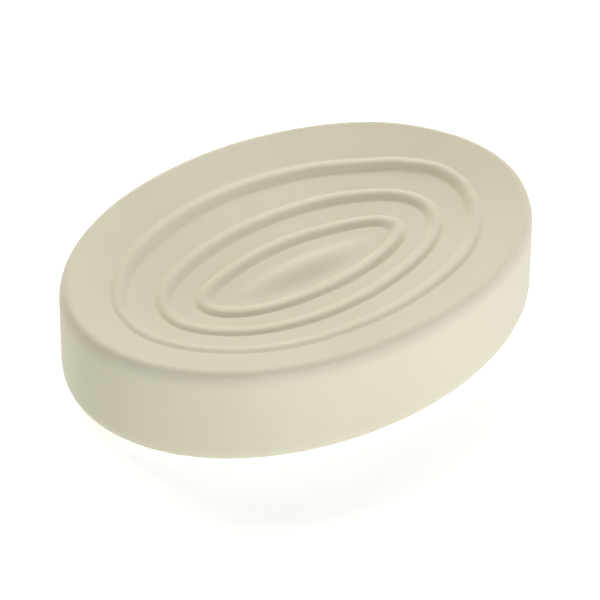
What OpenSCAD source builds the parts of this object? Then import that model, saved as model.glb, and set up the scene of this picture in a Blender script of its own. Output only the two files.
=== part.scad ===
// Oval soap dish: a matte ceramic body on four soft pads.
// The origin lies on the table under the middle of the dish. X runs along its length and Z is up.

/* [Body] */
// Length of the body over its foot
dish_l = 135; // [120:1:150]
// Width of the body over its foot
dish_w = 96.2; // [90:0.1:106]
// Height of the body from its foot to the top of its rim
dish_h = 28; // [26:0.5:32]
// How far the wall leans in between the foot and the rim
wall_lean = 1.5; // [0:0.1:2.5]
// Rounding of the rim's outer edge
rim_round = 2.7; // [1.5:0.1:4.5]
// Rounding of the foot's outer edge
foot_round = 5.5; // [3:0.1:6.5]

/* [Bowl] */
// Depth of the bowl below the top of the rim, without its mound
bowl_depth = 11.3; // [9:0.1:13]
// Slope of the bowl just inside the rim, in degrees
rim_slope = 27; // [24:0.5:32]
// Rounding of the rim's inner edge
rim_inner_round = 1; // [0.5:0.1:3]

/* [Ridges] */
// Gap between the end of the dish and the outer ridge's crest
outer_ridge_end = 15; // [13:0.1:17]
// Gap between the side of the dish and the outer ridge's crest
outer_ridge_side = 16.3; // [15:0.1:18]
// Gap at the ends between the crests of the outer and the middle ridge
middle_ridge_end = 11.3; // [10:0.1:12.5]
// Gap at the sides between the crests of the outer and the middle ridge
middle_ridge_side = 11.4; // [10.5:0.1:12.5]
// Gap at the ends between the crests of the middle and the inner ridge
inner_ridge_end = 10.7; // [9:0.1:12]
// Gap at the sides between the crests of the middle and the inner ridge
inner_ridge_side = 9.7; // [9:0.1:10.5]
// Height of the outer ridge above the bowl
outer_ridge_h = 1.6; // [0.8:0.1:2.5]
// Height of the middle ridge above the bowl
middle_ridge_h = 1.8; // [0.8:0.1:2.5]
// Height of the inner ridge above the bowl
inner_ridge_h = 1.8; // [0.8:0.1:2.5]
// Width of the outer ridge at its base
outer_ridge_w = 9.1; // [7:0.1:10]
// Width of the middle ridge at its base
middle_ridge_w = 8.1; // [6:0.1:9]
// Width of the inner ridge at its base
inner_ridge_w = 8.2; // [6:0.1:9]
// Share of a ridge's width that lies outside its crest
outer_flank_share = 0.44; // [0.4:0.01:0.5]
// How sharp the crests of the ridges are: 1 is a plain wave
ridge_peak = 1.8; // [1:0.1:3]
// How pointed the ends of the outer ridge are: 1 is a plain oval
outer_ridge_tip = 1.07; // [0.9:0.01:1.2]
// How pointed the ends of the middle ridge are: 1 is a plain oval
middle_ridge_tip = 1; // [0.9:0.01:1.2]
// How pointed the ends of the inner ridge are: 1 is a plain oval
inner_ridge_tip = 1.03; // [0.9:0.01:1.3]
// Length of the mound in the middle
mound_l = 49.5; // [40:0.5:54]
// Gap at the sides between the inner ridge's base and the mound
mound_gap = 0.2; // [0.1:0.1:1.5]
// How pointed the ends of the mound are: 1 is a plain oval
mound_tip = 1.2; // [0.9:0.05:1.5]
// Height of the mound above the bowl
mound_h = 2.3; // [1:0.1:3]

/* [Underside] */
// Thickness of the ceramic under the bowl, measured upright
floor_t = 7; // [5:0.5:8]
// Lean of the hollow's wall, from the foot in to its roof
hollow_lean = 1; // [0.5:0.1:2]
// Rounding where the hollow's wall meets its roof
hollow_round = 4; // [2:0.5:5]
// Rounding of the foot's inner edge
foot_inner_round = 1; // [0.5:0.1:1.5]

/* [Pads] */
// Diameter of a pad
pad_d = 8; // [6:0.1:9]
// Thickness of a pad
pad_t = 2; // [1.5:0.1:3]
// How far a pad stands out under the foot
pad_stand = 0.8; // [0.4:0.1:1.2]
// Rounding of a pad's lower edge
pad_round = 0.4; // [0.2:0.1:0.6]
// Clearance round a pad in its seat
pad_clear = 0.2; // [0.1:0.05:0.4]
// Flat left on the foot on each side of a pad's seat
pad_margin = 0.4; // [0.2:0.1:1]
// Angle of the pads from the length of the dish, seen from above
pad_angle = 42; // [30:1:60]

/* [Hidden] */

// Sides of every oval, and steps along each stretch of the section
sides = 84;
rim_steps = 8;
band_steps = 3;
flank_steps = 5;
valley_steps = 2;
mound_steps = 5;
foot_steps = 4;
edge_steps = 2;
fillet_steps = 4;
roof_steps = 4;
// Number of facets round a pad and its seat
$fn = 64;
// Overrun of every cut
overrun = 0.5;

half_l = dish_l / 2;
half_w = dish_w / 2;

// Rim: the crest is its highest line, and the bowl begins where the inner rounding has the bowl's slope
crest_inset = wall_lean + rim_round;
bowl_inset = crest_inset + rim_inner_round * sin(rim_slope);
bowl_edge_drop = rim_inner_round * (1 - cos(rim_slope));
bowl_reach = half_w - bowl_inset;
bowl_sag = bowl_depth - bowl_edge_drop;
// The exponent that gives the bowl its slope at the rim: 2 is a parabola
bowl_power = tan(rim_slope) * bowl_reach / bowl_sag;

// Ridges, from the outside in
ridge_side = [
    outer_ridge_side,
    outer_ridge_side + middle_ridge_side,
    outer_ridge_side + middle_ridge_side + inner_ridge_side
];
ridge_end = [
    outer_ridge_end,
    outer_ridge_end + middle_ridge_end,
    outer_ridge_end + middle_ridge_end + inner_ridge_end
];
ridge_h = [outer_ridge_h, middle_ridge_h, inner_ridge_h];
ridge_base = [outer_ridge_w, middle_ridge_w, inner_ridge_w];
// The outer and the inner foot of each ridge
ridge_out = [for (i = [0 : 2]) ridge_side[i] - ridge_base[i] * outer_flank_share];
ridge_in = [for (i = [0 : 2]) ridge_side[i] + ridge_base[i] * (1 - outer_flank_share)];
mound_side = ridge_in[2] + mound_gap;
mound_half_w = half_w - mound_side;

// Foot: wide enough for the seats of the pads
seat_d = pad_d + 2 * pad_clear;
seat_h = pad_t - pad_stand;
foot_w = foot_round + pad_margin + seat_d + pad_margin + foot_inner_round;
pad_inset = foot_round + pad_margin + seat_d / 2;
hollow_inset = foot_w + hollow_lean;

// Inset at the ends that goes with an inset at the sides, on the top of the dish
inset_pairs = [
    [crest_inset, crest_inset],
    [ridge_side[0], ridge_end[0]],
    [ridge_side[1], ridge_end[1]],
    [ridge_side[2], ridge_end[2]],
    [mound_side, half_l - mound_l / 2],
    [half_w, half_l]
];
function end_inset(side) = lookup(side, inset_pairs);

// How pointed the ends of a row are, by its inset at the sides: the rim is a plain oval
rim_tip = 1;
tip_pairs = [
    [crest_inset, rim_tip],
    [ridge_side[0], outer_ridge_tip],
    [ridge_side[1], middle_ridge_tip],
    [ridge_side[2], inner_ridge_tip],
    [mound_side, mound_tip]
];
function tip(side) = lookup(side, tip_pairs);

// Height above the foot of the bare bowl, its slope, and the ridges and the mound that stand on it
function bowl_share(side) = max(0, (half_w - side) / bowl_reach);
function bowl_z(side) = dish_h - bowl_edge_drop - bowl_sag * (1 - pow(bowl_share(side), bowl_power));
function bowl_slope(side) = atan(tan(rim_slope) * pow(bowl_share(side), bowl_power - 1));
function swell(share) = abs(share) < 1 ? (1 + cos(180 * share)) / 2 : 0;
function ridge_z(side, i) =
    let (gap = ridge_side[i] - side)
    let (flank = gap > 0 ? ridge_side[i] - ridge_out[i] : ridge_in[i] - ridge_side[i])
    ridge_h[i] * pow(swell(gap / flank), ridge_peak);
function mound_z(side) = mound_h * swell((half_w - side) / mound_half_w);
function relief_z(side) = ridge_z(side, 0) + ridge_z(side, 1) + ridge_z(side, 2) + mound_z(side);
function top_z(side) = bowl_z(side) + relief_z(side);

// Even steps from one value up to, but not including, another
function span(from, to, steps) = [for (i = [0 : steps - 1]) from + (to - from) * i / steps];

// The section of the body as rows of [inset at the ends, inset at the sides, height above the foot, tip]
function row_at(side, z) = [end_inset(side), side, z, tip(side)];
function even_row(inset, z) = [inset, inset, z, rim_tip];
function ridge_span(i) = concat(
    span(ridge_out[i], ridge_side[i], flank_steps),
    span(ridge_side[i], ridge_in[i], flank_steps)
);
top_sides = concat(
    span(bowl_inset, ridge_out[0], band_steps),
    ridge_span(0),
    span(ridge_in[0], ridge_out[1], valley_steps),
    ridge_span(1),
    span(ridge_in[1], ridge_out[2], valley_steps),
    ridge_span(2),
    [ridge_in[2]],
    span(mound_side, half_w, mound_steps)
);

// The rim, from the bowl over the crest and down to the wall
rim_rows = concat(
    [
        for (i = [1 : edge_steps - 1])
            let (a = rim_slope * (1 - i / edge_steps))
            let (side = crest_inset + rim_inner_round * sin(a))
            row_at(side, dish_h - rim_inner_round * (1 - cos(a)))
    ],
    [
        for (a = span(0, 90, rim_steps))
            even_row(crest_inset - rim_round * sin(a), dish_h - rim_round * (1 - cos(a)))
    ],
    [even_row(wall_lean, dish_h - rim_round)]
);

// The foot, from the wall to the hollow
foot_rows = concat(
    [
        for (a = span(0, 90, foot_steps))
            even_row(foot_round * (1 - cos(a)), foot_round * (1 - sin(a)))
    ],
    [even_row(foot_round, 0)],
    [
        for (a = span(0, 90, edge_steps))
            even_row(foot_w - foot_inner_round * (1 - sin(a)), foot_inner_round * (1 - cos(a)))
    ],
    [even_row(foot_w, foot_inner_round)]
);

// The roof of the hollow follows the bowl, and its fillet ends at the roof's own slope
function roof_z(side) = bowl_z(side) - floor_t;
roof_slope = bowl_slope(hollow_inset + hollow_round);
roof_inset = hollow_inset + hollow_round * (1 + sin(roof_slope));
fillet_z = roof_z(roof_inset) - hollow_round * cos(roof_slope);
hollow_rows = concat(
    [
        for (a = span(0, 90 + roof_slope, fillet_steps))
            even_row(hollow_inset + hollow_round * (1 - cos(a)), fillet_z + hollow_round * sin(a))
    ],
    [even_row(roof_inset, roof_z(roof_inset))],
    [
        for (i = [1 : roof_steps - 1])
            let (side = roof_inset + (half_w - roof_inset) * i / roof_steps)
            row_at(side, roof_z(side))
    ]
);

body_rows = concat(
    [for (i = [len(top_sides) - 1 : -1 : 0]) row_at(top_sides[i], top_z(top_sides[i]))],
    rim_rows,
    foot_rows,
    hollow_rows
);

// Points of one row, all the way round
function row_points(row) = [
    for (k = [0 : sides - 1])
        let (a = 360 * k / sides)
        let (across = sign(sin(a)) * pow(abs(sin(a)), row[3]))
        [(half_l - row[0]) * cos(a), (half_w - row[1]) * across, row[2]]
];

// A closed skin through rows that run from a top centre over the outside to a bottom centre
module skin(rows, top, bottom) {
    points = concat(
        [[0, 0, top]],
        [for (row = rows) each row_points(row)],
        [[0, 0, bottom]]
    );
    last = len(rows) - 1;
    function at(j, k) = 1 + j * sides + k % sides;
    faces = concat(
        [for (k = [0 : sides - 1]) [0, at(0, k + 1), at(0, k)]],
        [
            for (j = [0 : last - 1], k = [0 : sides - 1])
                each [
                    [at(j, k), at(j, k + 1), at(j + 1, k + 1)],
                    [at(j, k), at(j + 1, k + 1), at(j + 1, k)]
                ]
        ],
        [for (k = [0 : sides - 1]) [len(points) - 1, at(last, k), at(last, k + 1)]]
    );
    polyhedron(points, faces, convexity = 8);
}

// Moves its children to a pad's place: right is +1 or -1 along X, back is +1 or -1 along Y
module at_pad(right, back) {
    x = (half_l - pad_inset) * cos(pad_angle);
    y = (half_w - pad_inset) * sin(pad_angle);
    translate([right * x, back * y, 0]) children();
}

// The ceramic body, with a round blind seat in its foot for each pad
module dish_body() {
    color([0.89, 0.87, 0.80])
    difference() {
        translate([0, 0, pad_stand]) skin(body_rows, top_z(half_w), roof_z(half_w));
        for (right = [-1, 1], back = [-1, 1])
            at_pad(right, back)
                translate([0, 0, pad_stand - overrun])
                    cylinder(d = seat_d, h = seat_h + overrun);
    }
}

// A soft round pad, seated against the roof of its seat, with its lower edge rounded
module pad(right, back) {
    color([0.80, 0.80, 0.77])
    at_pad(right, back)
        rotate_extrude() {
            translate([0, pad_round]) square([pad_d / 2, pad_t - pad_round]);
            square([pad_d / 2 - pad_round, pad_round]);
            translate([pad_d / 2 - pad_round, pad_round])
                intersection() {
                    circle(r = pad_round);
                    translate([0, -pad_round]) square(pad_round);
                }
        }
}

module pad_front_left() { pad(-1, -1); }
module pad_front_right() { pad(1, -1); }
module pad_back_left() { pad(-1, 1); }
module pad_back_right() { pad(1, 1); }

dish_body();
pad_front_left();
pad_front_right();
pad_back_left();
pad_back_right();
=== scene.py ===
"""Dresses the oval soap dish: the sanded ceramic body, its four soft pads, and the stage round them."""

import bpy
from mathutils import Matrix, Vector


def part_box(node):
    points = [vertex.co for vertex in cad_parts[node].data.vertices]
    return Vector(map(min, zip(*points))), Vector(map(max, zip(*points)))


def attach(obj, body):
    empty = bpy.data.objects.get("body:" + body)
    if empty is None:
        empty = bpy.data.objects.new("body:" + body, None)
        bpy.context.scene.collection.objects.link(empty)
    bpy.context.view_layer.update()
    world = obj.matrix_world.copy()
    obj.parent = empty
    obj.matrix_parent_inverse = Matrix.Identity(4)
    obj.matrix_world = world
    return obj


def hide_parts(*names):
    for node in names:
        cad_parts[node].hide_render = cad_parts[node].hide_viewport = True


bl_info = {
    "name": "Oval Soap Dish",
    "version": (1, 0, 0),
    "blender": (4, 5, 0),
    "location": "View3D > Sidebar > Soap Dish",
    "description": "Builds a ridged oval soap dish in matte ceramic, with its pads and a pale stage",
    "category": "Object",
}

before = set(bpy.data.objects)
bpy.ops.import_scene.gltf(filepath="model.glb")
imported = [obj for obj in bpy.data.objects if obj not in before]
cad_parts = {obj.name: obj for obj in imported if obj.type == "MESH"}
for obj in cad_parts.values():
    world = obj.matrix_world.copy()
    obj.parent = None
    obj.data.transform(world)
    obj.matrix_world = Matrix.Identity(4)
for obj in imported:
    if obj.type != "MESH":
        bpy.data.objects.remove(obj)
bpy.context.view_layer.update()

import math
from collections import namedtuple

import bmesh
import bpy
from bpy.props import FloatProperty, FloatVectorProperty, IntProperty, PointerProperty
from mathutils import Matrix, Vector

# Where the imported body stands, and how large it is
BODY_LOW, BODY_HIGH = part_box("dish_body")
PAD_NODES = ("pad_front_left", "pad_front_right", "pad_back_left", "pad_back_right")
ROOT = "root"
MM_PER_METRE = 1000


def length_prop(name, description, default):
    """A size in metres, shown with its unit."""
    return FloatProperty(name=name, description=description, default=default, min=0.0, unit="LENGTH",
                         subtype="DISTANCE", precision=5)


def share_prop(name, description, default):
    """A plain number without a unit."""
    return FloatProperty(name=name, description=description, default=default, min=0.0)


def colour_prop(name, description, default):
    """A plain linear colour."""
    return FloatVectorProperty(name=name, description=description, default=default, size=3, min=0.0,
                               max=1.0, subtype="COLOR")


class BodySettings(bpy.types.PropertyGroup):
    """Sizes of the ceramic body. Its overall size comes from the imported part."""

    length: length_prop("Length", "Length over the foot", BODY_HIGH[0] - BODY_LOW[0])
    width: length_prop("Width", "Width over the foot", BODY_HIGH[1] - BODY_LOW[1])
    height: length_prop("Height", "From the foot to the top of the rim", BODY_HIGH[2] - BODY_LOW[2])
    wall_lean: FloatProperty(name="Wall lean", description="How far the wall leans in from upright",
                             default=math.radians(4.33), subtype="ANGLE")
    rim_round: length_prop("Rim rounding", "Rounding of the rim's outer edge", 0.0018)
    rim_turn: FloatProperty(name="Rim turn", description="How far the edge turns down before the shoulder",
                            default=math.radians(58), subtype="ANGLE")
    shoulder_round: length_prop("Shoulder rounding", "Slow rounding from the edge down into the wall", 0.007)
    rim_inner_round: length_prop("Inner rim rounding", "Rounding of the rim's inner edge", 0.001)
    rim_slope: FloatProperty(name="Rim slope", description="Slope of the bowl just inside the rim",
                             default=math.radians(27), subtype="ANGLE")
    bowl_depth: length_prop("Bowl depth", "Depth of the bowl without its mound", 0.0113)
    foot_round: length_prop("Foot rounding", "Rounding of the foot's outer edge", 0.0055)
    foot_inner_round: length_prop("Inner foot rounding", "Rounding of the foot's inner edge", 0.001)
    foot_width: length_prop("Foot width", "Width of the foot round the hollow", 0.0157)
    floor_thickness: length_prop("Floor thickness", "Upright thickness under the bowl", 0.007)
    hollow_lean: length_prop("Hollow lean", "Lean of the hollow's wall", 0.001)
    hollow_round: length_prop("Hollow rounding", "Rounding under the hollow's roof", 0.004)
    seat_clearance: length_prop("Seat clearance", "Gap between a pad and its seat", 0.0002)


class RidgeSettings(bpy.types.PropertyGroup):
    """Sizes of the three ridges and the mound in the bowl."""

    outer_end: length_prop("Outer ridge end", "From the dish's end to the outer crest", 0.015)
    outer_side: length_prop("Outer ridge side", "From the dish's side to the outer crest", 0.0163)
    middle_end: length_prop("Middle ridge end", "Outer to middle crest at the ends", 0.0113)
    middle_side: length_prop("Middle ridge side", "Outer to middle crest at the sides", 0.0114)
    inner_end: length_prop("Inner ridge end", "Middle to inner crest at the ends", 0.0107)
    inner_side: length_prop("Inner ridge side", "Middle to inner crest at the sides", 0.0097)
    outer_height: length_prop("Outer ridge height", "Height above the bowl", 0.0013)
    middle_height: length_prop("Middle ridge height", "Height above the bowl", 0.0013)
    inner_height: length_prop("Inner ridge height", "Height above the bowl", 0.0013)
    outer_zone: length_prop("Outer ridge zone", "Width of the fine rows round the outer crest", 0.0091)
    middle_zone: length_prop("Middle ridge zone", "Width of the fine rows round the middle crest", 0.0081)
    inner_zone: length_prop("Inner ridge zone", "Width of the fine rows round the inner crest", 0.0082)
    outer_part: share_prop("Outer part of a zone", "Share of a zone's width outside its crest", 0.44)
    steep_flank: length_prop("Steep flank", "Width of the flanks on the side that the ridges lean to", 0.0018)
    easy_out: length_prop("Easy outer flank", "Width of the easy flanks that face out", 0.0029)
    easy_in: length_prop("Easy inner flank", "Width of the easy flanks that face in", 0.0038)
    steep_bulge: share_prop("Steep bulge", "Shape of the steep flanks: 1 is full, 2 a plain wave", 1.2)
    easy_bulge: share_prop("Easy bulge", "Shape of the easy flanks: 1 is full, 2 a plain wave", 1.5)
    lean_from: FloatProperty(name="Lean from", description="Side that the ridges lean away from, 0 on +X",
                             default=math.radians(70), subtype="ANGLE")
    outer_tip: share_prop("Outer tip", "How pointed the outer ridge's ends are: 1 is an oval", 1.07)
    middle_tip: share_prop("Middle tip", "How pointed the middle ridge's ends are: 1 is an oval", 1.0)
    inner_tip: share_prop("Inner tip", "How pointed the inner ridge's ends are: 1 is an oval", 1.03)
    mound_tip: share_prop("Mound tip", "How pointed the mound's ends are: 1 is an oval", 1.2)
    mound_length: length_prop("Mound length", "Length of the mound", 0.0495)
    mound_gap: length_prop("Mound gap", "From the inner ridge's zone to the mound", 0.0002)
    mound_height: length_prop("Mound height", "Height above the bowl", 0.0023)
    hand_stray: share_prop("Hand stray", "How much of the hand's straying from true ovals is kept", 1.0)


# Where the hand strayed from a true oval: the angle round the dish in degrees, 0 at the right end and 90
# at the back, and how far outwards, in millimetres
STRAYS = {
    "rim": ((0, 0.1), (18, 0.15), (42, 0.75), (75, 0.2), (100, 0.15), (125, 0.45), (150, 0.65), (185, 0.85),
            (225, 0.7), (250, 0.25), (268, -0.3), (300, -0.2)),
    "outer": ((0, -0.15), (17, 0.6), (31, 0.1), (47, -0.75), (70, -0.4), (95, -0.05), (118, 0.15),
              (148, 0.55), (165, 0.25), (178, -0.6), (208, -0.7), (240, 0.2), (266, -0.5), (284, -0.45),
              (308, 0.3), (344, -0.75)),
    "middle": ((0, 0), (20, 0.3), (50, 0), (85, -0.25), (122, -0.25), (155, 0.4), (186, -0.65),
               (205, -0.95), (241, 0.4), (255, 0.45), (270, 0.05), (298, -0.45), (325, -0.3), (346, -0.4)),
    "inner": ((0, -0.1), (18, 0.05), (55, -0.35), (95, 0.05), (122, -0.05), (160, 0.5), (187, -0.55),
              (235, 0.1), (270, -0.1), (295, -0.15), (325, -0.15), (345, -0.3)),
}
# How high the hand left each ridge, at the same kind of angles: 1 is its height in the settings
LIFTS = {
    "outer": ((0, 1), (12, 1.05), (30, 1), (60, 1), (90, 0.95), (120, 1.05), (145, 1), (180, 0.85),
              (200, 0.72), (225, 0.62), (255, 0.62), (280, 0.68), (300, 0.85), (320, 0.95), (345, 1)),
    "middle": ((0, 1), (12, 1.03), (30, 1), (60, 0.96), (90, 0.94), (130, 0.96), (150, 0.95), (170, 0.85),
               (200, 0.85), (225, 0.85), (250, 0.9), (275, 0.9), (300, 1), (320, 1.05), (345, 1)),
    "inner": ((0, 0.65), (12, 0.82), (30, 0.93), (60, 0.93), (90, 0.93), (130, 0.98), (155, 0.95), (170, 0.9),
              (200, 0.95), (230, 0.93), (260, 0.92), (290, 0.97), (310, 1.25), (335, 1.25), (350, 0.75)),
}
RIDGES = ("outer", "middle", "inner")


def eased(marks, angle):
    """The value at an angle, eased between the marks beside it. The last mark leads on to the first."""
    turn = math.degrees(angle) % 360
    (start, before), (end, after) = marks[-1], (360, marks[0][1])
    for mark, following in zip(marks, marks[1:]):
        if mark[0] <= turn < following[0]:
            (start, before), (end, after) = mark, following
    share = (1 - math.cos(math.pi * (turn - start) / (end - start))) / 2
    return before + (after - before) * share


def stray(ring, angle):
    """How far a ring strays outwards at an angle, in metres."""
    return eased(STRAYS[ring], angle) / MM_PER_METRE


class FinishSettings(bpy.types.PropertyGroup):
    """Colours of the ceramic and of the pads."""

    clay: colour_prop("Clay", "Colour of the sanded ceramic", (0.72, 0.68, 0.53))
    clay_pale: colour_prop("Pale clay", "Where sanding has polished it", (0.735, 0.695, 0.545))
    clay_warm: colour_prop("Warm clay", "Where it has fired a little warmer", (0.71, 0.665, 0.512))
    # Painted shade: a darker clay colour that stands in for the shade inside the pinholes
    shaded_pinhole: colour_prop("Pinhole", "Inside of a pinhole", (0.4, 0.36, 0.27))
    pad: colour_prop("Pad", "Milky pad", (0.62, 0.62, 0.57))


class StageSettings(bpy.types.PropertyGroup):
    """Camera, floor and the world's even light."""

    azimuth: FloatProperty(name="Azimuth", description="Camera round the dish, 0 looks along +Y",
                           default=math.radians(-37.893), subtype="ANGLE")
    elevation: FloatProperty(name="Elevation", description="Camera above the horizon",
                             default=math.radians(39.191), subtype="ANGLE")
    roll: FloatProperty(name="Roll", description="Turn of the picture", default=math.radians(1.692),
                        subtype="ANGLE")
    distance: length_prop("Distance", "From the camera to its target", 0.40907)
    target: FloatVectorProperty(name="Target", description="Point that the camera looks at",
                                default=(0.003771, 0.006557, 0.000904), subtype="TRANSLATION")
    focal_pixels: FloatProperty(name="Focal length in pixels", default=1520.03,
                                description="Focal length in pixels of the picture's width")
    picture_pixels: IntProperty(name="Picture width", description="Width of the picture in pixels",
                                default=600)
    floor_size: length_prop("Floor size", "Side of the square floor", 6.0)
    floor_gap: length_prop("Floor gap", "Hair's breadth between the pads and the floor", 0.00005)
    floor_colour: colour_prop("Floor colour", "Colour of the board under the dish", (0.9, 0.9, 0.9))
    floor_glow: share_prop("Floor glow", "Light that the floor gives off", 0.13)
    floor_glow_near: share_prop("Near floor glow", "Light that the floor gives off close to the dish", 0.46)
    glow_start: length_prop("Glow start", "From the dish's centre to where the near glow fades", 0.05)
    glow_end: length_prop("Glow end", "From the dish's centre to where the near glow has gone", 0.16)
    floor_tint: colour_prop("Floor glow colour", "Colour of the floor's own light", (0.87, 0.93, 1.0))
    floor_lift: share_prop("Floor lift", "Brightness that the camera sees on top of the near floor", 0.52)
    lift_start: length_prop("Lift start", "From the dish's centre to where the lift grows", 0.2)
    lift_end: length_prop("Lift end", "From the dish's centre to where the lift is plain white", 0.9)
    world_level: share_prop("World level", "Strength of the even light from all round", 0.01)


SENSOR_MM = 36.0
LAMP_DISTANCE = 1.0

# Steps round the oval, and along each stretch of the section
AROUND = 288
STEPS = {"mound": 12, "valley": 4, "flank": 20, "band": 14, "inner_rim": 5, "rim": 10, "shoulder": 8,
         "wall": 7, "foot": 8, "foot_edge": 4, "land": 3, "fillet": 9, "roof": 10}
SEAT_SIDES = 96
# Edges that turn more than this stay crisp
CRISP_EDGE = math.radians(40)

# How the flanks change from easy to steep round the dish: how quickly, and how much the steep ones gain
LEAN_RATE = 2
LEAN_GAIN = 0.4


def span(start, end, steps):
    """Even steps from start up to, but not including, end."""
    return [start + (end - start) * i / steps for i in range(steps)]


def swell(share):
    """A smooth hump: 1 at the middle, 0 from 1 outwards."""
    return (1 + math.cos(math.pi * share)) / 2 if abs(share) < 1 else 0.0


# One row of the skin: how far in from the dish's end and side it runs, its height above the foot, how
# pointed its ends are, and whether the ridges and the mound rise from it
Row = namedtuple("Row", "end side height tip has_relief")


class Section:
    """The upright section of the body, from the sizes in the settings."""

    def __init__(self, body, ridges):
        self.body = body
        self.ridges = ridges
        self.half_l = body.length / 2
        self.half_w = body.width / 2
        self.shoulder = [self.shoulder_point(turn) for turn in
                         span(body.rim_turn, math.pi / 2 - body.wall_lean, STEPS["shoulder"])]
        over, down = self.shoulder_point(math.pi / 2 - body.wall_lean)
        self.wall_top = body.height - down
        self.wall_inset = math.tan(body.wall_lean) * (self.wall_top - body.foot_round)
        self.crest = self.wall_inset + over
        self.bowl_inset = self.crest + body.rim_inner_round * math.sin(body.rim_slope)
        self.edge_drop = body.rim_inner_round * (1 - math.cos(body.rim_slope))
        self.reach = self.half_w - self.bowl_inset
        self.sag = body.bowl_depth - self.edge_drop
        self.power = math.tan(body.rim_slope) * self.reach / self.sag
        self.sides = self.running_sum(ridges.outer_side, ridges.middle_side, ridges.inner_side)
        self.ends = self.running_sum(ridges.outer_end, ridges.middle_end, ridges.inner_end)
        self.heights = (ridges.outer_height, ridges.middle_height, ridges.inner_height)
        zones = (ridges.outer_zone, ridges.middle_zone, ridges.inner_zone)
        self.outer_parts = [ridges.outer_part * zone for zone in zones]
        self.inner_parts = [(1 - ridges.outer_part) * zone for zone in zones]
        self.mound_side = self.sides[2] + self.inner_parts[2] + ridges.mound_gap
        rings = (self.crest, *self.sides, self.mound_side)
        self.end_pairs = [
            *zip(rings, (self.crest, *self.ends, self.half_l - ridges.mound_length / 2)),
            (self.half_w, self.half_l),
        ]
        self.tip_pairs = list(zip(rings, (1.0, ridges.outer_tip, ridges.middle_tip, ridges.inner_tip,
                                          ridges.mound_tip)))

    def shoulder_point(self, turn):
        """How far out and down the shoulder is from the rim's crest, where it has turned this far."""
        edge, slow, start = self.body.rim_round, self.body.shoulder_round, self.body.rim_turn
        return (edge * math.sin(start) + slow * (math.sin(turn) - math.sin(start)),
                edge * (1 - math.cos(start)) + slow * (math.cos(start) - math.cos(turn)))

    @staticmethod
    def running_sum(*gaps):
        """Insets of the crests, from the gaps between them."""
        return [sum(gaps[: i + 1]) for i in range(len(gaps))]

    @staticmethod
    def between(pairs, side):
        """The value that goes with an inset at the sides, from pairs of inset and value."""
        for (side_a, value_a), (side_b, value_b) in zip(pairs, pairs[1:]):
            if side <= side_b:
                return value_a + (value_b - value_a) * max(0.0, side - side_a) / (side_b - side_a)
        return pairs[-1][1]

    def row(self, side, height, has_relief=False):
        """A row of the top or the roof, from its inset at the side."""
        return Row(self.between(self.end_pairs, side), side, height, self.between(self.tip_pairs, side),
                   has_relief)

    def bowl_share(self, side):
        """How far out an inset lies: 1 at the bowl's edge and 0 at its centre."""
        return max(0.0, (self.half_w - side) / self.reach)

    def bowl_z(self, side):
        """Height of the bare bowl above the foot."""
        sunk = self.sag * (1 - self.bowl_share(side) ** self.power)
        return self.body.height - self.edge_drop - sunk

    def bowl_slope(self, side):
        """Slope of the bare bowl at an inset."""
        return math.atan(math.tan(self.body.rim_slope) * self.bowl_share(side) ** (self.power - 1))

    def flank(self, gap, angle):
        """Share of a ridge's height at a gap outwards from its crest. All ridges lean to one side: there
        the flank that faces out is short and full, and on the far side the one that faces in."""
        ridges = self.ridges
        lean, easy = math.cos(angle - ridges.lean_from), ridges.easy_in
        if gap > 0:
            lean, easy = -lean, ridges.easy_out
        steep = (1 + math.tanh(LEAN_RATE * lean + LEAN_GAIN)) / 2
        width = easy + (ridges.steep_flank - easy) * steep
        bulge = ridges.easy_bulge + (ridges.steep_bulge - ridges.easy_bulge) * steep
        return math.cos(math.pi / 2 * min(1.0, abs(gap) / width)) ** bulge

    def relief(self, side, angle):
        """Height of the ridges and the mound over the bowl, with each ridge where the hand left it."""
        height = self.ridges.mound_height * swell((self.half_w - side) / (self.half_w - self.mound_side))
        for name, crest, ridge in zip(RIDGES, self.sides, self.heights):
            gap = crest - self.ridges.hand_stray * stray(name, angle) - side
            height += ridge * eased(LIFTS[name], angle) * self.flank(gap, angle)
        return height

    def top_sides(self):
        """Insets at the sides of the rows on the top, from the bowl's edge to the mound."""
        edges = [self.bowl_inset]
        for crest, outer_part, inner_part in zip(self.sides, self.outer_parts, self.inner_parts):
            edges += [crest - outer_part, crest, crest + inner_part]
        edges += [self.mound_side, self.half_w]
        ridge = ("flank", "flank")
        kinds = ("band", *ridge, "valley", *ridge, "valley", *ridge, "valley", "mound")
        rows = []
        for start, end, kind in zip(edges, edges[1:], kinds):
            rows += span(start, end, STEPS[kind])
        return rows

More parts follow.
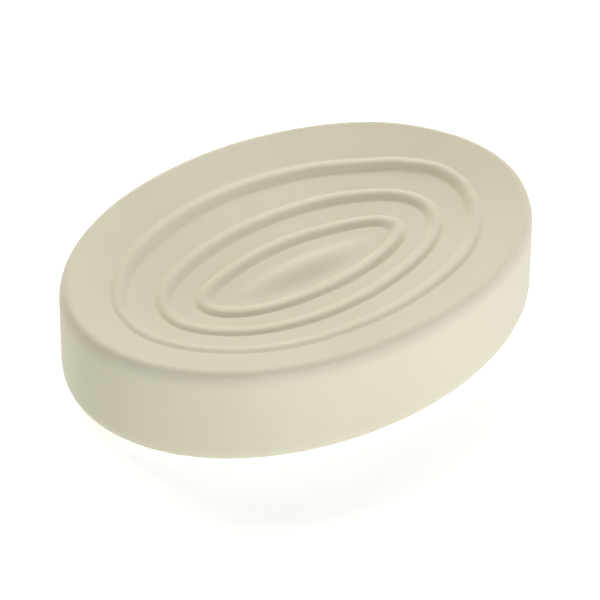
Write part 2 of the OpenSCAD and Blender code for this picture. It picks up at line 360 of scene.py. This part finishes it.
    def rows(self):
        """All rows of the body, from the top's centre over the rim and the foot to the bottom's centre."""
        body = self.body
        rows = [self.row(side, self.bowl_z(side), True) for side in reversed(self.top_sides())]
        for i in range(1, STEPS["inner_rim"]):
            turn = body.rim_slope * (1 - i / STEPS["inner_rim"])
            side = self.crest + body.rim_inner_round * math.sin(turn)
            rows.append(self.row(side, body.height - body.rim_inner_round * (1 - math.cos(turn))))
        for turn in span(0, body.rim_turn, STEPS["rim"]):
            rows.append(self.even(self.crest - body.rim_round * math.sin(turn),
                                  body.height - body.rim_round * (1 - math.cos(turn))))
        for out, down in self.shoulder:
            rows.append(self.even(self.crest - out, body.height - down))
        for share in span(0, 1, STEPS["wall"]):
            rows.append(self.even(self.wall_inset * (1 - share),
                                  self.wall_top + (body.foot_round - self.wall_top) * share))
        for turn in span(0, math.pi / 2, STEPS["foot"]):
            rows.append(self.even(body.foot_round * (1 - math.cos(turn)),
                                  body.foot_round * (1 - math.sin(turn))))
        land_end = body.foot_width - body.foot_inner_round
        for inset in span(body.foot_round, land_end, STEPS["land"]):
            rows.append(self.even(inset, 0.0))
        for turn in span(0, math.pi / 2, STEPS["foot_edge"]):
            rows.append(self.even(land_end + body.foot_inner_round * math.sin(turn),
                                  body.foot_inner_round * (1 - math.cos(turn))))
        rows.append(self.even(body.foot_width, body.foot_inner_round))
        return rows + self.hollow_rows()

    def hollow_rows(self):
        """Rows of the hollow's wall, fillet and roof, up to the bottom's centre."""
        body = self.body
        wall = body.foot_width + body.hollow_lean
        slope = self.bowl_slope(wall + body.hollow_round)
        roof = wall + body.hollow_round * (1 + math.sin(slope))
        low = self.roof_z(roof) - body.hollow_round * math.cos(slope)
        rows = []
        for turn in span(0, math.pi / 2 + slope, STEPS["fillet"]):
            rows.append(self.even(wall + body.hollow_round * (1 - math.cos(turn)),
                                  low + body.hollow_round * math.sin(turn)))
        rows.append(self.even(roof, self.roof_z(roof)))
        for side in span(roof, self.half_w, STEPS["roof"])[1:]:
            rows.append(self.row(side, self.roof_z(side)))
        return rows

    def roof_z(self, side):
        """Height of the hollow's roof above the foot, an even thickness under the bare bowl."""
        return self.bowl_z(side) - self.body.floor_thickness

    def rim_share(self, side, height):
        """How much of the rim's stray a row takes: all at the crest, none at the outer ridge or the foot."""
        if side > self.crest and height > self.body.height / 2:
            return swell((side - self.crest) / (self.sides[0] - self.outer_parts[0] - self.crest))
        return max(0.0, height - self.body.foot_round) / (self.body.height - self.body.foot_round)

    @staticmethod
    def even(inset, height):
        """A row of the rim, the wall or the foot: the same inset all round."""
        return Row(inset, inset, height, 1.0, False)


def body_skin(section, foot_level):
    """The closed skin of the body: rows of points round the oval, from the top's centre to the bottom's."""
    mesh = bmesh.new()
    top_z = section.bowl_z(section.half_w) + section.relief(section.half_w, 0.0)
    top = mesh.verts.new((0, 0, foot_level + top_z))
    bottom = mesh.verts.new((0, 0, foot_level + section.roof_z(section.half_w)))
    loops = []
    for row in section.rows():
        loop = []
        rim_share = section.ridges.hand_stray * section.rim_share(row.side, row.height)
        for k in range(AROUND):
            angle = 2 * math.pi * k / AROUND
            extra = section.relief(row.side, angle) if row.has_relief else 0.0
            across = math.copysign(abs(math.sin(angle)) ** row.tip, math.sin(angle))
            out = rim_share * stray("rim", angle)
            loop.append(mesh.verts.new(((section.half_l - row.end + out) * math.cos(angle),
                                        (section.half_w - row.side + out) * across,
                                        foot_level + row.height + extra)))
        loops.append(loop)
    for k in range(AROUND):
        after = (k + 1) % AROUND
        mesh.faces.new((top, loops[0][k], loops[0][after]))
        mesh.faces.new((bottom, loops[-1][after], loops[-1][k]))
        for upper, lower in zip(loops, loops[1:]):
            mesh.faces.new((upper[k], lower[k], lower[after], upper[after]))
    mesh.normal_update()
    return mesh


def cut_seats(body, section):
    """Cuts a blind round seat round each pad, with the seat's clearance."""
    clearance = section.body.seat_clearance
    cutters = bmesh.new()
    for node in PAD_NODES:
        low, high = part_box(node)
        radius = (high[0] - low[0]) / 2 + clearance
        centre = Vector(((low[0] + high[0]) / 2, (low[1] + high[1]) / 2, (low[2] + high[2]) / 2))
        bmesh.ops.create_cone(cutters, cap_ends=True, segments=SEAT_SIDES, radius1=radius, radius2=radius,
                              depth=high[2] - low[2], matrix=Matrix.Translation(centre))
    cutter_mesh = bpy.data.meshes.new("seat_cutters")
    cutters.to_mesh(cutter_mesh)
    cutters.free()
    cutter = bpy.data.objects.new("seat_cutters", cutter_mesh)
    bpy.context.scene.collection.objects.link(cutter)
    cut = body.modifiers.new("seats", "BOOLEAN")
    cut.operation = "DIFFERENCE"
    cut.solver = "EXACT"
    cut.object = cutter
    bpy.context.view_layer.update()
    depsgraph = bpy.context.evaluated_depsgraph_get()
    finished = bpy.data.meshes.new_from_object(body.evaluated_get(depsgraph))
    if len(finished.vertices) <= len(body.data.vertices):
        raise RuntimeError("The seats of the pads were not cut")
    body.modifiers.clear()
    body.data = finished
    bpy.data.objects.remove(cutter)
    bpy.data.meshes.remove(cutter_mesh)


def feed(tree, socket, value):
    """Links a socket to another one, or sets it to a plain value."""
    if isinstance(value, bpy.types.NodeSocket):
        tree.links.new(value, socket)
    else:
        socket.default_value = value


def node_of(tree, kind, **inputs):
    """A shader node with its named sockets fed."""
    node = tree.nodes.new(kind)
    for name, value in inputs.items():
        feed(tree, node.inputs[name.replace("_", " ")], value)
    return node


def work_out(tree, operation, *values, kind="ShaderNodeMath"):
    """The sockets of a node that works out a result from other sockets and plain values."""
    node = tree.nodes.new(kind)
    node.operation = operation
    for socket, value in zip(node.inputs, values):
        feed(tree, socket, value)
    return node.outputs


def join(tree, kind, *sources):
    """A shader made of others: their sum, or their mix with its share first."""
    node = tree.nodes.new(kind)
    for socket, source in zip(node.inputs, sources):
        tree.links.new(source, socket)
    return node.outputs[0]


def noise(tree, place, **inputs):
    """Random clouds from 0 to 1."""
    return node_of(tree, "ShaderNodeTexNoise", Vector=place, **inputs).outputs["Fac"]


def colours_along(tree, share, first, *others):
    """A colour that runs through stops with the share. Each stop is a place from 0 to 1 and a colour."""
    ramp = node_of(tree, "ShaderNodeValToRGB", Fac=share)
    stops = ramp.color_ramp.elements
    stops.remove(stops[1])
    stops[0].position = first[0]
    stops[0].color = (*first[1], 1)
    for position, colour in others:
        stops.new(position).color = (*colour, 1)
    return ramp.outputs["Color"]


def bump(tree, height, strength, distance, over=None, inward=False):
    """A surface direction bent by a height, on top of another bump where there is one."""
    node = node_of(tree, "ShaderNodeBump", Height=height, Strength=strength, Distance=distance)
    node.invert = inward
    if over:
        tree.links.new(over, node.inputs["Normal"])
    return node.outputs["Normal"]


def bare_material(name):
    """A new material, with its node tree and its shader."""
    material = bpy.data.materials.new(name)
    material.use_nodes = True
    return material, material.node_tree, material.node_tree.nodes["Principled BSDF"]


# Pinholes that show on the top: place along and across the dish and radius, in millimetres
PINHOLES = ((-31.8, -26.9, 0.17), (-38.2, -35.3, 0.12), (-25.7, 30.2, 0.14), (-30.0, 29.2, 0.13),
            (-28.0, 30.1, 0.11), (-30.2, -36.5, 0.12), (-33.3, -13.4, 0.14), (-13.5, -20.9, 0.12))
# Radii of a pinhole at which it starts and at which it is deepest
PINHOLE_START, PINHOLE_DEEP = 1.3, 0.6
# Pinholes sown at random: cells in a metre, the random value above which a cell has one, and the distances
# in a cell at which it starts and is deepest
SOWN_CELLS, SOWN_ABOVE, SOWN_START, SOWN_DEEP = 95.0, 0.95, 0.03, 0.01


def pinholes(tree, place):
    """1 inside pinholes and 0 outside, where the surface is pitted and shade is painted: some sown at random
    all over, and those that show on the top.
    """
    vector_math = "ShaderNodeVectorMath"
    cells = node_of(tree, "ShaderNodeTexVoronoi", Vector=place, Scale=SOWN_CELLS, Randomness=1.0)
    chance = node_of(tree, "ShaderNodeSeparateColor", Color=cells.outputs["Color"])
    few = work_out(tree, "GREATER_THAN", chance.outputs["Red"], SOWN_ABOVE)[0]
    near = node_of(tree, "ShaderNodeMapRange", Value=cells.outputs["Distance"], From_Min=SOWN_START,
                   From_Max=SOWN_DEEP)
    deepest = work_out(tree, "MULTIPLY", few, near.outputs["Result"])[0]
    plan = work_out(tree, "MULTIPLY", place, (1, 1, 0), kind=vector_math)["Vector"]
    for along, across, radius in PINHOLES:
        centre = (along / MM_PER_METRE, across / MM_PER_METRE, 0)
        away = work_out(tree, "DISTANCE", plan, centre, kind=vector_math)["Value"]
        hole = node_of(tree, "ShaderNodeMapRange", Value=away, From_Min=PINHOLE_START * radius / MM_PER_METRE,
                       From_Max=PINHOLE_DEEP * radius / MM_PER_METRE)
        deepest = work_out(tree, "MAXIMUM", deepest, hole.outputs["Result"])[0]
    return deepest


def sanded_ceramic(finish):
    """Unglazed ceramic, sanded smooth: soft mottling, fine grain, faint streaks on the wall, pinholes pitted
    in and darkened with painted shade.
    """
    material, tree, shader = bare_material("sanded_ceramic")
    shader.inputs["Specular IOR Level"].default_value = 0.3
    place = tree.nodes.new("ShaderNodeTexCoord").outputs["Object"]

    mottle = noise(tree, place, Scale=26.0, Detail=3.0, Roughness=0.5)
    tint = colours_along(tree, mottle, (0.36, finish.clay_warm), (0.5, finish.clay), (0.66, finish.clay_pale))
    shaded_pinhole = pinholes(tree, place)
    # Painted shade: the pinholes' mask mixes in the darker colour where shade falls inside them, and the bump
    # further down pits them
    shade = tree.nodes.new("ShaderNodeMix")
    shade.data_type = "RGBA"
    feed(tree, shade.inputs["Factor"], shaded_pinhole)
    feed(tree, shade.inputs["A"], tint)
    feed(tree, shade.inputs["B"], (*finish.shaded_pinhole, 1))
    feed(tree, shader.inputs["Base Color"], shade.outputs["Result"])

    grain = noise(tree, place, Scale=900.0, Detail=4.0, Roughness=0.6)
    stretch = node_of(tree, "ShaderNodeMapping", Vector=place, Scale=(14.0, 14.0, 420.0))
    streaks = noise(tree, stretch.outputs["Vector"], Scale=1.0, Detail=3.0, Roughness=0.55)
    grainy = bump(tree, grain, strength=0.35, distance=0.00006)
    streaky = bump(tree, streaks, strength=0.25, distance=0.00012, over=grainy)
    pitted = bump(tree, shaded_pinhole, strength=0.5, distance=0.0002, over=streaky, inward=True)
    feed(tree, shader.inputs["Normal"], pitted)

    rough = node_of(tree, "ShaderNodeMapRange", Value=grain, To_Min=0.78, To_Max=0.94)
    feed(tree, shader.inputs["Roughness"], rough.outputs["Result"])
    return material


def milky_pad(finish):
    """Soft milky pad: satin, with a faint moulded grain."""
    material, tree, shader = bare_material("milky_pad")
    shader.inputs["Specular IOR Level"].default_value = 0.45
    place = tree.nodes.new("ShaderNodeTexCoord").outputs["Object"]

    cloud = noise(tree, place, Scale=180.0, Detail=2.0)
    dull = tuple(0.92 * c for c in finish.pad)
    bright = tuple(min(1.0, 1.06 * c) for c in finish.pad)
    feed(tree, shader.inputs["Base Color"], colours_along(tree, cloud, (0.0, dull), (1.0, bright)))
    rough = node_of(tree, "ShaderNodeMapRange", Value=cloud, To_Min=0.42, To_Max=0.58)
    feed(tree, shader.inputs["Roughness"], rough.outputs["Result"])
    grain = noise(tree, place, Scale=2400.0, Detail=2.0)
    feed(tree, shader.inputs["Normal"], bump(tree, grain, strength=0.2, distance=0.00003))
    return material


class SOAPDISH_OT_body(bpy.types.Operator):
    """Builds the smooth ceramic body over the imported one"""

    bl_idname = "soapdish.body"
    bl_label = "Ceramic Body"

    def execute(self, context):
        scene = context.scene
        section = Section(scene.soapdish_body, scene.soapdish_ridges)
        mesh = bpy.data.meshes.new("ceramic_body")
        skin = body_skin(section, BODY_LOW[2])
        skin.to_mesh(mesh)
        skin.free()
        body = bpy.data.objects.new("ceramic_body", mesh)
        scene.collection.objects.link(body)
        cut_seats(body, section)
        body.data.materials.clear()
        body.data.materials.append(sanded_ceramic(scene.soapdish_finish))
        body.data.shade_smooth()
        body.data.set_sharp_from_angle(angle=CRISP_EDGE)
        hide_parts("dish_body")
        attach(body, ROOT)
        return {"FINISHED"}


class SOAPDISH_OT_pads(bpy.types.Operator):
    """Gives the four packed pads their milky finish"""

    bl_idname = "soapdish.pads"
    bl_label = "Pads"

    def execute(self, context):
        material = milky_pad(context.scene.soapdish_finish)
        for name in PAD_NODES:
            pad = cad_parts[name]
            pad.data.materials.clear()
            pad.data.materials.append(material)
        return {"FINISHED"}


def square(name, side, material):
    """A flat square at the origin, facing up."""
    flat = bmesh.new()
    bmesh.ops.create_grid(flat, x_segments=1, y_segments=1, size=side / 2)
    mesh = bpy.data.meshes.new(name)
    flat.to_mesh(mesh)
    flat.free()
    mesh.materials.append(material)
    thing = bpy.data.objects.new(name, mesh)
    bpy.context.scene.collection.objects.link(thing)
    return thing


def falloff(tree, near, far, at_near, at_far):
    """A value that changes smoothly with the distance from the dish's centre."""
    place = tree.nodes.new("ShaderNodeTexCoord").outputs["Object"]
    away = work_out(tree, "LENGTH", place, kind="ShaderNodeVectorMath")["Value"]
    value = node_of(tree, "ShaderNodeMapRange", Value=away, From_Min=near, From_Max=far, To_Min=at_near,
                    To_Max=at_far)
    value.interpolation_type = "SMOOTHSTEP"
    return value.outputs["Result"]


def seen_share(tree):
    """1 for rays from the camera, for mirror reflections and through clear pieces, 0 for all other light."""
    path = tree.nodes.new("ShaderNodeLightPath").outputs
    share = path["Is Camera Ray"]
    for kind in ("Is Glossy Ray", "Is Transmission Ray"):
        share = work_out(tree, "MAXIMUM", share, path[kind])[0]
    return share


def pale_floor(stage):
    """White board, lit from inside like a light table. The camera sees it lifted to white far from the dish,
    and near the dish with a trace of its shadow. From below it is clear, so that the foot and pads show."""
    material, tree, _ = bare_material("pale_floor")
    tree.nodes.clear()
    board = node_of(tree, "ShaderNodeBsdfDiffuse", Color=(*stage.floor_colour, 1))
    near_glow = falloff(tree, stage.glow_start, stage.glow_end, stage.floor_glow_near, stage.floor_glow)
    near_lift = falloff(tree, stage.lift_start, stage.lift_end, stage.floor_lift, 1.0)
    glow = node_of(tree, "ShaderNodeEmission", Color=(*stage.floor_tint, 1), Strength=near_glow)
    lift = node_of(tree, "ShaderNodeEmission", Color=(1, 1, 1, 1), Strength=near_lift)
    lit, seen = (join(tree, "ShaderNodeAddShader", board.outputs[0], light.outputs[0])
                 for light in (glow, lift))
    top = join(tree, "ShaderNodeMixShader", seen_share(tree), lit, seen)
    underside = tree.nodes.new("ShaderNodeNewGeometry").outputs["Backfacing"]
    camera_ray = tree.nodes.new("ShaderNodeLightPath").outputs["Is Camera Ray"]
    from_below = work_out(tree, "MULTIPLY", underside, camera_ray)[0]
    clear = tree.nodes.new("ShaderNodeBsdfTransparent").outputs[0]
    one_sided = join(tree, "ShaderNodeMixShader", from_below, top, clear)
    node_of(tree, "ShaderNodeOutputMaterial", Surface=one_sided)
    return material


def pale_world(strength):
    """Dim even light, seen as plain white by the camera and in reflections."""
    world = bpy.data.worlds.new("pale_world")
    bpy.context.scene.world = world
    world.use_nodes = True
    tree = world.node_tree
    tree.nodes.clear()
    dim, white = (node_of(tree, "ShaderNodeBackground", Color=(1, 1, 1, 1), Strength=level).outputs[0]
                  for level in (strength, 1.0))
    pick = join(tree, "ShaderNodeMixShader", seen_share(tree), dim, white)
    node_of(tree, "ShaderNodeOutputWorld", Surface=pick)


def direction(azimuth, elevation):
    """Unit vector towards a viewpoint: azimuth 0 is in front, on -Y, and 90 degrees is on +X."""
    return Vector((math.sin(azimuth) * math.cos(elevation), -math.cos(azimuth) * math.cos(elevation),
                   math.sin(elevation)))


def soft_lamp(name, azimuth, elevation, size, watts, colour):
    """A square soft lamp that faces the dish. Angles in degrees, the azimuth as for the camera."""
    data = bpy.data.lights.new(name, "AREA")
    data.size = size
    data.energy = watts
    data.color = colour
    lamp = bpy.data.objects.new(name, data)
    away = direction(math.radians(azimuth), math.radians(elevation))
    lamp.location = away * LAMP_DISTANCE
    lamp.rotation_mode = "QUATERNION"
    lamp.rotation_quaternion = (-away).to_track_quat("-Z", "Y")
    lamp.visible_camera = False
    bpy.context.scene.collection.objects.link(lamp)


def photo_camera(stage):
    """The camera at the photograph's viewpoint."""
    data = bpy.data.cameras.new("photo_camera")
    data.sensor_width = SENSOR_MM
    data.lens = SENSOR_MM * stage.focal_pixels / stage.picture_pixels
    camera = bpy.data.objects.new("photo_camera", data)
    back = direction(stage.azimuth, stage.elevation)
    camera.location = Vector(stage.target) + back * stage.distance
    turn = (-back).to_track_quat("-Z", "Y") @ Matrix.Rotation(stage.roll, 4, "Z").to_quaternion()
    camera.rotation_mode = "QUATERNION"
    camera.rotation_quaternion = turn
    bpy.context.scene.collection.objects.link(camera)
    bpy.context.scene.camera = camera


class SOAPDISH_OT_stage(bpy.types.Operator):
    """Sets up the floor, the lamps, the world and the camera"""

    bl_idname = "soapdish.stage"
    bl_label = "Stage"

    def execute(self, context):
        stage = context.scene.soapdish_stage
        floor = square("pale_floor", stage.floor_size, pale_floor(stage))
        floor.location.z = -stage.floor_gap
        pale_world(stage.world_level)
        soft_lamp("back_softbox", azimuth=188, elevation=45, size=0.3, watts=3.6, colour=(1.0, 0.91, 0.8))
        soft_lamp("back_right_softbox", azimuth=143, elevation=45, size=0.3, watts=4.2,
                  colour=(0.79, 0.86, 1.0))
        soft_lamp("right_softbox", azimuth=120, elevation=45, size=0.3, watts=1.6, colour=(1.0, 1.0, 0.8))
        soft_lamp("front_softbox", azimuth=8, elevation=15, size=0.6, watts=5.8, colour=(0.84, 0.88, 1.0))
        soft_lamp("front_right_softbox", azimuth=53, elevation=40, size=0.6, watts=1.5,
                  colour=(1.0, 0.9, 0.78))
        soft_lamp("front_left_softbox", azimuth=323, elevation=15, size=0.6, watts=1.7,
                  colour=(1.0, 0.96, 0.76))
        soft_lamp("left_softbox", azimuth=233, elevation=15, size=0.6, watts=2.55, colour=(0.88, 0.95, 1.0))
        photo_camera(stage)
        context.scene.view_settings.view_transform = "Standard"
        return {"FINISHED"}


class SOAPDISH_PT_panel(bpy.types.Panel):
    """Lists the steps that build the dish"""

    bl_label = "Soap Dish"
    bl_idname = "SOAPDISH_PT_panel"
    bl_space_type = "VIEW_3D"
    bl_region_type = "UI"
    bl_category = "Soap Dish"

    def draw(self, context):
        for operator in OPERATORS:
            self.layout.operator(operator.bl_idname)


OPERATORS = (SOAPDISH_OT_body, SOAPDISH_OT_pads, SOAPDISH_OT_stage)
GROUPS = {
    "soapdish_body": BodySettings,
    "soapdish_ridges": RidgeSettings,
    "soapdish_finish": FinishSettings,
    "soapdish_stage": StageSettings,
}


def register():
    """Makes the settings, the operators and the panel known."""
    for kind in (*GROUPS.values(), *OPERATORS, SOAPDISH_PT_panel):
        bpy.utils.register_class(kind)
    for name, kind in GROUPS.items():
        setattr(bpy.types.Scene, name, PointerProperty(type=kind))


def unregister():
    """Takes the settings, the operators and the panel away again."""
    for name in GROUPS:
        delattr(bpy.types.Scene, name)
    for kind in reversed((*GROUPS.values(), *OPERATORS, SOAPDISH_PT_panel)):
        bpy.utils.unregister_class(kind)


def main():
    register()
    bpy.ops.soapdish.body()
    bpy.ops.soapdish.pads()
    bpy.ops.soapdish.stage()


if __name__ == "__main__":
    main()
